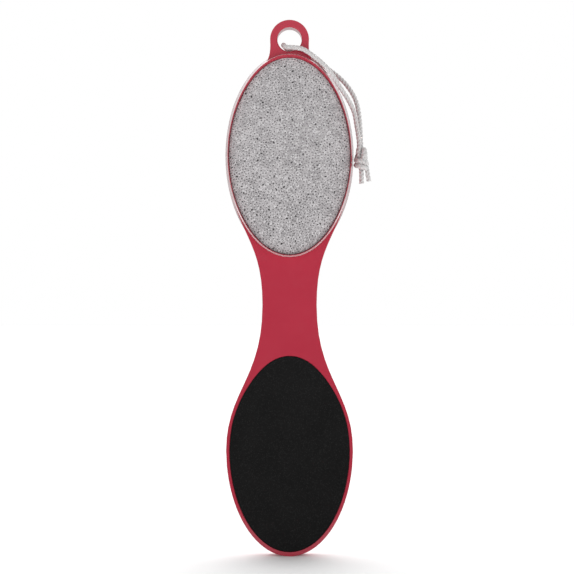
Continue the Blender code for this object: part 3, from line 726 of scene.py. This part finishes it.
# %% [markdown]
# ## The moulded body
# The body's shape is already right in the model, down to the thin lip. It only needs clean shading:
# its doubled points are joined, edges sharper than a set angle stay crisp, and the large flat faces
# rule the normals at their rims, so that nothing ripples along the rounded edges.

# %% The body's skin
CRISP_ANGLE = 38.0
JOIN_DISTANCE = 0.000002
FLAT_ANGLE = 0.05
FLAT_FACES_WEIGHT = 80


def skin_of(node, name):
    """A copy of a model node with joined points and clean normals, which stands for that node."""
    source = frame["nodes"][node].data
    builder = bmesh.new()
    builder.from_mesh(source)
    bmesh.ops.remove_doubles(builder, verts=builder.verts, dist=JOIN_DISTANCE)
    bmesh.ops.dissolve_limit(
        builder, angle_limit=math.radians(FLAT_ANGLE), verts=builder.verts, edges=builder.edges
    )
    points = [tuple(point.co) for point in builder.verts]
    faces = [[point.index for point in face.verts] for face in builder.faces]
    builder.free()
    made = add_piece(name, points, faces, "paddle", [node])
    made.data.set_sharp_from_angle(angle=math.radians(CRISP_ANGLE))
    weight = made.modifiers.new("flat_faces_first", "WEIGHTED_NORMAL")
    weight.mode = "FACE_AREA"
    weight.weight = FLAT_FACES_WEIGHT
    weight.keep_sharp = True
    return made


body = skin_of("paddle_body", "moulded_body")

# %% [markdown]
# ## Studio
# The paddle stands on its tip on a plain white floor. The world's own shader paints the room round it
# by direction: bright behind and overhead, dim at the sides, a wide ring of light in front, and a dark
# disc round the lens, which keeps the glossy front a deep red. The camera sees plain white in its place.
# The floor ends a little way in front of the paddle, so light from below reaches the front too.

# %% Helpers that add shader nodes
def feed(tree, socket, value):
    """Gives a socket a number, a vector or an opaque colour, or links another socket to it."""
    if isinstance(value, tuple) and socket.type == "RGBA":
        socket.default_value = (*value, 1.0)
    elif isinstance(value, (int, float, tuple)):
        socket.default_value = value
    else:
        tree.links.new(value, socket)


def maths(tree, operation, *values):
    """A Math node on two or three sockets or numbers."""
    node = tree.nodes.new("ShaderNodeMath")
    node.operation = operation
    for socket, value in zip(node.inputs, values):
        feed(tree, socket, value)
    return node.outputs[0]


def ramp(tree, value, from_min, from_max, to_min=0.0, to_max=1.0):
    """A smooth step from one value to another, as a Map Range node."""
    step = tree.nodes.new("ShaderNodeMapRange")
    step.interpolation_type = "SMOOTHSTEP"
    labels = ("Value", "From Min", "From Max", "To Min", "To Max")
    for label, given in zip(labels, (value, from_min, from_max, to_min, to_max)):
        feed(tree, step.inputs[label], given)
    return step.outputs["Result"]


def mix(tree, share, first, second):
    """Goes from one number to another by a share, or to a colour if the second value is a tuple."""
    mixer = tree.nodes.new("ShaderNodeMix")
    colours = isinstance(second, tuple)
    mixer.data_type = "RGBA" if colours else "FLOAT"
    for place, value in zip((0, 6, 7) if colours else (0, 2, 3), (share, first, second)):
        feed(tree, mixer.inputs[place], value)
    return mixer.outputs[2 if colours else 0]


def split(tree, vector):
    """The X, Y and Z of a vector."""
    node = tree.nodes.new("ShaderNodeSeparateXYZ")
    tree.links.new(vector, node.inputs[0])
    return node.outputs


# %% The room
ROOM_SIDES = 0.38
ROOM_BEHIND = 1.05
ROOM_TOP = 2.10
ROOM_FRONT_TOP = 0.35
RING_LIGHT = 1.90
LENS_SHADE = 0.10
SHADE_TILT = 8.0

# How far a direction points one way where each part of the room starts, and where it is full
BEHIND_TURN = (-0.40, -0.80)
RING_TURN = (0.05, 0.45)
SHADE_TURN = (0.85, 0.98)
UPWARD_TURN = (0.12, 0.55)
BACKWARD_TURN = (-0.4, 0.4)

scene = bpy.context.scene
scene.view_settings.view_transform = "Standard"
room = bpy.data.worlds.new("white_room")
room.use_nodes = True
scene.world = room
tree = room.node_tree
tree.nodes.clear()

direction = split(tree, tree.nodes.new("ShaderNodeTexCoord").outputs["Generated"])
forward = maths(tree, "MULTIPLY", direction["Y"], -1.0)
behind = ramp(tree, forward, *BEHIND_TURN, ROOM_SIDES, ROOM_BEHIND)
ring = ramp(tree, forward, *RING_TURN, 0.0, RING_LIGHT - ROOM_SIDES)
tilt = math.radians(SHADE_TILT)
low = maths(tree, "MULTIPLY", direction["Z"], -math.sin(tilt))
towards_lens = maths(tree, "MULTIPLY_ADD", forward, math.cos(tilt), low)
shade = ramp(tree, towards_lens, *SHADE_TURN, 1.0, LENS_SHADE)
walls = maths(tree, "MULTIPLY", maths(tree, "ADD", behind, ring), shade)
upward = ramp(tree, direction["Z"], *UPWARD_TURN)
top_light = ramp(tree, direction["Y"], *BACKWARD_TURN, ROOM_FRONT_TOP, ROOM_TOP)
strength = mix(tree, upward, walls, top_light)
is_seen = tree.nodes.new("ShaderNodeLightPath").outputs["Is Camera Ray"]
background = tree.nodes.new("ShaderNodeBackground")
background.inputs["Color"].default_value = (1.0, 1.0, 1.0, 1.0)
tree.links.new(mix(tree, is_seen, strength, 1.0), background.inputs["Strength"])
output = tree.nodes.new("ShaderNodeOutputWorld")
tree.links.new(background.outputs[0], output.inputs["Surface"])
print("nodes in the room's shader:", len(tree.nodes))

# %% The floor
FLOOR_SIZE = 6.0
FLOOR_FRONT = 0.090

floor_mesh = bpy.data.meshes.new("floor")
floor_height = cad_box[0][2]
half = FLOOR_SIZE / 2
corners = [(-half, -FLOOR_FRONT), (half, -FLOOR_FRONT), (half, half), (-half, half)]
floor_mesh.from_pydata([(x, y, floor_height) for x, y in corners], [], [(0, 1, 2, 3)])
floor = bpy.data.objects.new("floor", floor_mesh)
scene.collection.objects.link(floor)
print("floor at", round(float(floor_height), 4))

# %% [markdown]
# ## Finishes
# Some effects show on more than one finish, so each is built once as a node group: slow patches of
# tone, a fine uneven skin and small specks. They read the mesh's own coordinates in metres, so the
# numbers below are real sizes. Every group puts out masks or heights, and the material decides what to
# do with them.

# %% Groups that several finishes share
FINE_PATCH = 0.12
BROAD_BUMP = 6.0
FINE_BUMP_SHARE = 0.5
SPECK_RADIUS = 0.42


def new_group(name, numbers, results):
    """A shader node group fed with a place and some numbers, with its own sockets in and out."""
    group = bpy.data.node_groups.new(name, "ShaderNodeTree")
    group.interface.new_socket("Place", in_out="INPUT", socket_type="NodeSocketVector")
    for label, number in numbers.items():
        socket = group.interface.new_socket(label, in_out="INPUT", socket_type="NodeSocketFloat")
        socket.default_value = number
    for label in results:
        group.interface.new_socket(label, in_out="OUTPUT", socket_type="NodeSocketFloat")
    given = group.nodes.new("NodeGroupInput").outputs
    return group, given, group.nodes.new("NodeGroupOutput").inputs


def noise_in(tree, place, size, detail, roughness):
    """A noise texture whose grain has a size in metres. The size may be a number or a socket."""
    grain = tree.nodes.new("ShaderNodeTexNoise")
    grain.inputs["Detail"].default_value = detail
    grain.inputs["Roughness"].default_value = roughness
    tree.links.new(place, grain.inputs["Vector"])
    tree.links.new(maths(tree, "DIVIDE", 1.0, size), grain.inputs["Scale"])
    return grain.outputs["Fac"]


def build_patches():
    """Slow patches of tone, from 0 to 1 with most of the surface near the middle."""
    group, given, result = new_group("tone_patches", {"Size": 0.01}, ["Patches", "Fine Patches"])
    slow = noise_in(group, given["Place"], given["Size"], 3.0, 0.55)
    fine_size = maths(group, "MULTIPLY", given["Size"], FINE_PATCH)
    fine = noise_in(group, given["Place"], fine_size, 3.0, 0.6)
    group.links.new(slow, result["Patches"])
    group.links.new(fine, result["Fine Patches"])
    return group


def build_skin():
    """The uneven skin of a moulded or ground face, as a height in metres."""
    group, given, result = new_group("uneven_skin", {"Size": 0.001, "Height": 1.0}, ["Height"])
    broad_size = maths(group, "MULTIPLY", given["Size"], BROAD_BUMP)
    broad = noise_in(group, given["Place"], broad_size, 1.0, 0.5)
    fine = noise_in(group, given["Place"], given["Size"], 3.0, 0.6)
    mixed = maths(group, "MULTIPLY_ADD", fine, FINE_BUMP_SHARE, broad)
    group.links.new(maths(group, "MULTIPLY", mixed, given["Height"]), result["Height"])
    return group


def build_specks():
    """Small specks scattered over a surface, 1 in a speck and 0 between them, with a tone for each."""
    group, given, result = new_group("specks", {"Size": 0.0005, "Share": 0.3}, ["Specks", "Tone"])
    cells = group.nodes.new("ShaderNodeTexVoronoi")
    group.links.new(given["Place"], cells.inputs["Vector"])
    group.links.new(maths(group, "DIVIDE", 1.0, given["Size"]), cells.inputs["Scale"])
    tone = group.nodes.new("ShaderNodeSeparateColor")
    group.links.new(cells.outputs["Color"], tone.inputs[0])
    picked = maths(group, "LESS_THAN", tone.outputs["Red"], given["Share"])
    round_part = maths(group, "LESS_THAN", cells.outputs["Distance"], SPECK_RADIUS)
    group.links.new(maths(group, "MULTIPLY", picked, round_part), result["Specks"])
    group.links.new(tone.outputs["Green"], result["Tone"])
    return group


tone_patches = build_patches()
uneven_skin = build_skin()
specks = build_specks()
print("groups:", [group.name for group in bpy.data.node_groups])


# %% Helpers for materials
def start_material(name, pieces, numbers):
    """Gives pieces a new material. Its node tree, shader and own coordinates are handed back."""
    material = bpy.data.materials.new(name)
    material.use_nodes = True
    for piece in pieces:
        piece.data.materials.clear()
        piece.data.materials.append(material)
    tree = material.node_tree
    shader = tree.nodes["Principled BSDF"]
    for label, number in numbers.items():
        shader.inputs[label].default_value = number
    print("material:", name)
    return tree, shader, tree.nodes.new("ShaderNodeTexCoord").outputs["Object"]


def use_group(tree, group, place, **numbers):
    """Places a shared group in a material, fed with coordinates and its own numbers."""
    node = tree.nodes.new("ShaderNodeGroup")
    node.node_tree = group
    tree.links.new(place, node.inputs["Place"])
    for label, number in numbers.items():
        node.inputs[label].default_value = number
    return node.outputs


def paint(tree, shader, share, first, second):
    """Mixes two colours and gives the result to the shader as its colour."""
    tree.links.new(mix(tree, share, first, second), shader.inputs["Base Color"])


def vector_maths(tree, operation, *values):
    """A Vector Math node on sockets or fixed vectors."""
    node = tree.nodes.new("ShaderNodeVectorMath")
    node.operation = operation
    for socket, value in zip(node.inputs, values):
        feed(tree, socket, value)
    return node.outputs["Value" if operation == "DOT_PRODUCT" else "Vector"]


def add_skin(tree, shader, place, **numbers):
    """Feeds the uneven skin, with its grain and height in metres, to the shader's normal."""
    skin = use_group(tree, uneven_skin, place, **numbers)
    node = tree.nodes.new("ShaderNodeBump")
    node.inputs["Strength"].default_value = 1.0
    node.inputs["Distance"].default_value = 1.0
    tree.links.new(skin["Height"], node.inputs["Height"])
    tree.links.new(node.outputs["Normal"], shader.inputs["Normal"])


def read_number(tree, label):
    """A number or vector that was stored on the mesh's points."""
    node = tree.nodes.new("ShaderNodeAttribute")
    node.attribute_name = label
    return node.outputs


# %% [markdown]
# The body is glossy pigmented plastic, a deep red. Where a rounded edge turns away from the lens it
# mirrors the dim side of the room, and the colour there is darkened further to match. That darkening
# follows the view, so a baked copy of the model loses it. The lip's outer wall catches the light and
# looks pale. At the lip's upper and lower ends that pale tone is a painted highlight, put into the
# colour on faces that stand on the lip and point outwards, strongest where they turn from the view. The
# skin is never perfectly flat, and handling leaves patches of weaker gloss.

# %% Red plastic
RED = (0.440, 0.026, 0.052)
RED_DEEP = (0.400, 0.021, 0.045)
RED_EDGE = (0.120, 0.016, 0.024)
# A painted highlight: the pale tone laid on the lip's outer faces at its upper and lower ends
LIP_PAINTED_HIGHLIGHT = (0.62, 0.50, 0.51)
LIP_FOOT = -0.00325
LIP_BLEND = 0.0003

# The upper head's middle, and one over its half width and half length squared
HEAD_MIDDLE = (0.0, 0.0, -0.0517)
HEAD_CURVE = (1200.0, 0.0, 460.0)

# Where each ramp starts and stops, then what it goes from and to where that isn't 0 and 1
EDGE_RAMP = (0.60, 0.88, 0.0, 0.85)
LOWER_END_RAMP = (-0.20, -0.45)
UPPER_END_RAMP = (0.66, 0.82)
OUTWARD_RAMP = (0.25, 0.55)
LIP_RAMP = (LIP_FOOT, LIP_FOOT - LIP_BLEND)
STEEP_RAMP = (0.40, 0.75, 0.42, 1.0)
GLOSS_RAMP = (0.35, 0.70, 0.15, 0.24)

tree, shader, place = start_material("moulded_red", [body], {"Specular IOR Level": 0.64})
patches = use_group(tree, tone_patches, place, Size=0.018)
facing = tree.nodes.new("ShaderNodeLayerWeight").outputs["Facing"]
red = mix(tree, patches["Patches"], RED_DEEP, RED)
red = mix(tree, ramp(tree, facing, *EDGE_RAMP), red, RED_EDGE)

normal = tree.nodes.new("ShaderNodeNewGeometry").outputs["Normal"]
upright = split(tree, normal)["Z"]
faces_down = ramp(tree, upright, *LOWER_END_RAMP)
faces_up = ramp(tree, upright, *UPPER_END_RAMP)
from_middle = vector_maths(tree, "SUBTRACT", place, HEAD_MIDDLE)
outward = vector_maths(tree, "NORMALIZE", vector_maths(tree, "MULTIPLY", from_middle, HEAD_CURVE))
faces_out = ramp(tree, vector_maths(tree, "DOT_PRODUCT", outward, normal), *OUTWARD_RAMP)
on_lip = ramp(tree, split(tree, place)["Y"], *LIP_RAMP)
out_on_lip = maths(tree, "MULTIPLY", faces_out, on_lip)
at_the_ends = maths(tree, "ADD", faces_down, faces_up)
steep_ends = maths(tree, "MULTIPLY", at_the_ends, ramp(tree, facing, *STEEP_RAMP))
# The painted highlight on steep, outward faces of the lip at its ends
painted_lip_highlight = maths(tree, "MULTIPLY", out_on_lip, steep_ends)
paint(tree, shader, painted_lip_highlight, red, LIP_PAINTED_HIGHLIGHT)
tree.links.new(ramp(tree, patches["Fine Patches"], *GLOSS_RAMP), shader.inputs["Roughness"])
add_skin(tree, shader, place, Size=0.0011, Height=0.0000035)

# %% [markdown]
# Ground pumice is matt and grey, with lighter glassy walls between the bubbles and small dark specks.
# The mesh stores how deep each point lies in a bubble, and the colour darkens with that depth: a painted
# shade inside the bubbles.

# %% Pumice
STONE_LIGHT = (0.50, 0.480, 0.488)
STONE_GREY = (0.31, 0.296, 0.302)
# A dark tone for small specks in the stone, and for the painted shade inside its bubbles
STONE_SPECK_AND_PORE_SHADE = (0.130, 0.124, 0.127)
GLASS_WALL = (0.60, 0.585, 0.592)
MOTTLE_BROAD = 0.7
MOTTLE_FINE = 0.6
MOTTLE_RAMP = (0.40, 0.90)
SPECK_RAMP = (0.2, 0.9, 0.0, 0.35)
WALL_FROM = 0.80
WALL_SHARE = 0.8
PORE_SHADE_RAMP = (0.08, 0.70, 0.0, 0.85)

stone_numbers = {"Roughness": 0.92, "Specular IOR Level": 0.25}
tree, shader, place = start_material("ground_grey", [stone], stone_numbers)
patches = use_group(tree, tone_patches, place, Size=0.004)
grit = use_group(tree, specks, place, Size=0.00060, Share=0.30)
fine_mottle = maths(tree, "MULTIPLY", patches["Fine Patches"], MOTTLE_FINE)
mottle = maths(tree, "MULTIPLY_ADD", patches["Patches"], MOTTLE_BROAD, fine_mottle)
tone = mix(tree, ramp(tree, mottle, *MOTTLE_RAMP), STONE_GREY, STONE_LIGHT)
dark_speck = maths(tree, "MULTIPLY", grit["Specks"], ramp(tree, grit["Tone"], *SPECK_RAMP))
tone = mix(tree, dark_speck, tone, STONE_SPECK_AND_PORE_SHADE)
wall = maths(tree, "MULTIPLY", maths(tree, "GREATER_THAN", grit["Tone"], WALL_FROM), WALL_SHARE)
tone = mix(tree, wall, tone, GLASS_WALL)
# Painted shade inside the bubbles, darker the deeper a point lies
painted_pore_shade = ramp(tree, read_number(tree, "pore_depth")["Fac"], *PORE_SHADE_RAMP)
paint(tree, shader, painted_pore_shade, tone, STONE_SPECK_AND_PORE_SHADE)
add_skin(tree, shader, place, Size=0.00025, Height=0.00004)

# %% [markdown]
# The emery sheet is black grit in black glue. Most of it swallows light, and a few clean grain faces
# catch it. Wear has polished nothing yet, so it stays even from edge to edge.

# %% Emery
EMERY_BLACK = (0.0040, 0.0040, 0.0041)
EMERY_GREY = (0.0085, 0.0082, 0.0082)
GRAIN_GLINT = (0.045, 0.044, 0.044)
GLINT_RAMP = (0.55, 1.0, 0.0, 0.35)
SHINE_RAMP = (0.6, 1.0, 0.82, 0.55)

tree, shader, place = start_material("black_grit", [pad], {"Specular IOR Level": 0.12})
grains = use_group(tree, specks, place, Size=0.00038, Share=0.5)
patches = use_group(tree, tone_patches, place, Size=0.012)
tone = mix(tree, patches["Patches"], EMERY_BLACK, EMERY_GREY)
glint = maths(tree, "MULTIPLY", grains["Specks"], ramp(tree, grains["Tone"], *GLINT_RAMP))
paint(tree, shader, glint, tone, GRAIN_GLINT)
tree.links.new(ramp(tree, grains["Tone"], *SHINE_RAMP), shader.inputs["Roughness"])
add_skin(tree, shader, place, Size=0.0002, Height=0.00005)

# %% [markdown]
# The brush's plate is the same plastic with a duller, fine-grained skin. Nylon filaments let some
# light in. They are slightly yellow at the root, where they gather dust, and clearer at the tip.

# %% Brush plate and nylon
PLATE_RED = (0.43, 0.016, 0.036)
PLATE_DUST = (0.36, 0.05, 0.06)
DUSTY_RAMP = (0.35, 0.75, 0.0, 0.4)
NYLON_ROOT = (0.80, 0.78, 0.72)
NYLON_TIP = (0.94, 0.94, 0.93)
YELLOW_SHARE = 0.3

tree, shader, place = start_material("brush_red", [brush_plate], {"Roughness": 0.42})
patches = use_group(tree, tone_patches, place, Size=0.010)
dusty = ramp(tree, patches["Patches"], *DUSTY_RAMP)
paint(tree, shader, dusty, PLATE_RED, PLATE_DUST)
add_skin(tree, shader, place, Size=0.0005, Height=0.000012)

nylon_numbers = {
    "Roughness": 0.34,
    "IOR": 1.53,
    "Subsurface Weight": 0.5,
    "Subsurface Radius": (1.0, 1.0, 1.0),
    "Subsurface Scale": 0.0008,
}
tree, shader, place = start_material("clear_nylon", [filaments], nylon_numbers)
patches = use_group(tree, tone_patches, place, Size=0.003)
tone = mix(tree, read_number(tree, "reach")["Fac"], NYLON_ROOT, NYLON_TIP)
yellow = maths(tree, "MULTIPLY", patches["Patches"], YELLOW_SHARE)
paint(tree, shader, yellow, tone, NYLON_ROOT)

# %% [markdown]
# The file is stainless steel. Rolling leaves fine lines along the sheet, grinding leaves the tips of
# the teeth brighter, and the cuts between them stay dull.

# %% Steel
STEEL_BRIGHT = (0.62, 0.62, 0.63)
STEEL_DULL = (0.17, 0.168, 0.17)
LINE_STRETCH = (1.0, 1.0, 0.03)
LINE_SHARE = 0.25
TIP_RAMP = (0.1, 0.8, 0.1, 0.75)
STEEL_GLOSS_RAMP = (0.3, 0.7, 0.22, 0.40)

tree, shader, place = start_material("file_steel", [steel_file], {"Metallic": 1.0})
stretched = vector_maths(tree, "MULTIPLY", place, LINE_STRETCH)
lines = use_group(tree, tone_patches, stretched, Size=0.0007)
tip = ramp(tree, read_number(tree, "tooth")["Fac"], *TIP_RAMP)
bright = maths(tree, "MULTIPLY_ADD", lines["Patches"], LINE_SHARE, tip)
paint(tree, shader, bright, STEEL_DULL, STEEL_BRIGHT)
gloss = ramp(tree, lines["Fine Patches"], *STEEL_GLOSS_RAMP)
tree.links.new(gloss, shader.inputs["Roughness"])
add_skin(tree, shader, stretched, Size=0.0003, Height=0.000006)

# %% [markdown]
# Cotton is matt and soft. Its fibres run nearly along the cord, and the numbers stored on the rope say
# where along and round the cord a point lies, so long thin noise in that space reads as fibre. Light
# that sinks in and comes out again keeps the shaded side pale.

# %% Cotton
COTTON = (0.60, 0.585, 0.582)
COTTON_SHADE = (0.46, 0.448, 0.446)
FIBRE_STRETCH = (1.0, 1.0, 420.0)
FIBRE_RAMP = (0.3, 0.7, 0.0, 0.8)

cotton_numbers = {
    "Roughness": 0.95,
    "Specular IOR Level": 0.2,
    "Sheen Weight": 0.25,
    "Sheen Roughness": 0.5,
    "Subsurface Weight": 0.6,
    "Subsurface Radius": (1.0, 0.95, 0.92),
    "Subsurface Scale": 0.0012,
}
cord_pieces = [hanging_loop, tied_knot, left_tail, right_tail]
tree, shader, place = start_material("laid_cotton", cord_pieces, cotton_numbers)
along_fibres = vector_maths(
    tree, "MULTIPLY", read_number(tree, "fibre_space")["Vector"], FIBRE_STRETCH
)
strands = use_group(tree, tone_patches, along_fibres, Size=0.55)
shade = ramp(tree, strands["Fine Patches"], *FIBRE_RAMP)
paint(tree, shader, shade, COTTON, COTTON_SHADE)
add_skin(tree, shader, along_fibres, Size=0.10, Height=0.00005)

# %% [markdown]
# Glue and tape are hidden between the pieces, and still get an honest finish, because the model may be
# taken apart. The floor is plain matt paint.

# %% Glue, tape and floor
GLUE_DEEP = (0.62, 0.55, 0.38)
GLUE_PALE = (0.78, 0.72, 0.56)
TAPE_FOAM = (0.80, 0.80, 0.78)
TAPE_CELL = (0.62, 0.62, 0.60)
FLOOR_PAINT = (0.95, 0.95, 0.95)
FLOOR_SHADE = (0.94, 0.94, 0.94)

glue_bed = frame["nodes"]["stone_glue_bed"]
tree, shader, place = start_material("set_glue", [glue_bed], {"Roughness": 0.35})
patches = use_group(tree, tone_patches, place, Size=0.006)
paint(tree, shader, patches["Patches"], GLUE_DEEP, GLUE_PALE)
add_skin(tree, shader, place, Size=0.0015, Height=0.00003)

tapes = [frame["nodes"][node] for node in ("emery_pad_tape", "metal_file_tape")]
tree, shader, place = start_material("foam_tape", tapes, {"Roughness": 0.7})
cells = use_group(tree, specks, place, Size=0.0003, Share=0.4)
paint(tree, shader, cells["Specks"], TAPE_FOAM, TAPE_CELL)
add_skin(tree, shader, place, Size=0.0003, Height=0.00002)

tree, shader, place = start_material("floor_paint", [floor], {"Roughness": 0.9})
patches = use_group(tree, tone_patches, place, Size=0.3)
paint(tree, shader, patches["Patches"], FLOOR_PAINT, FLOOR_SHADE)
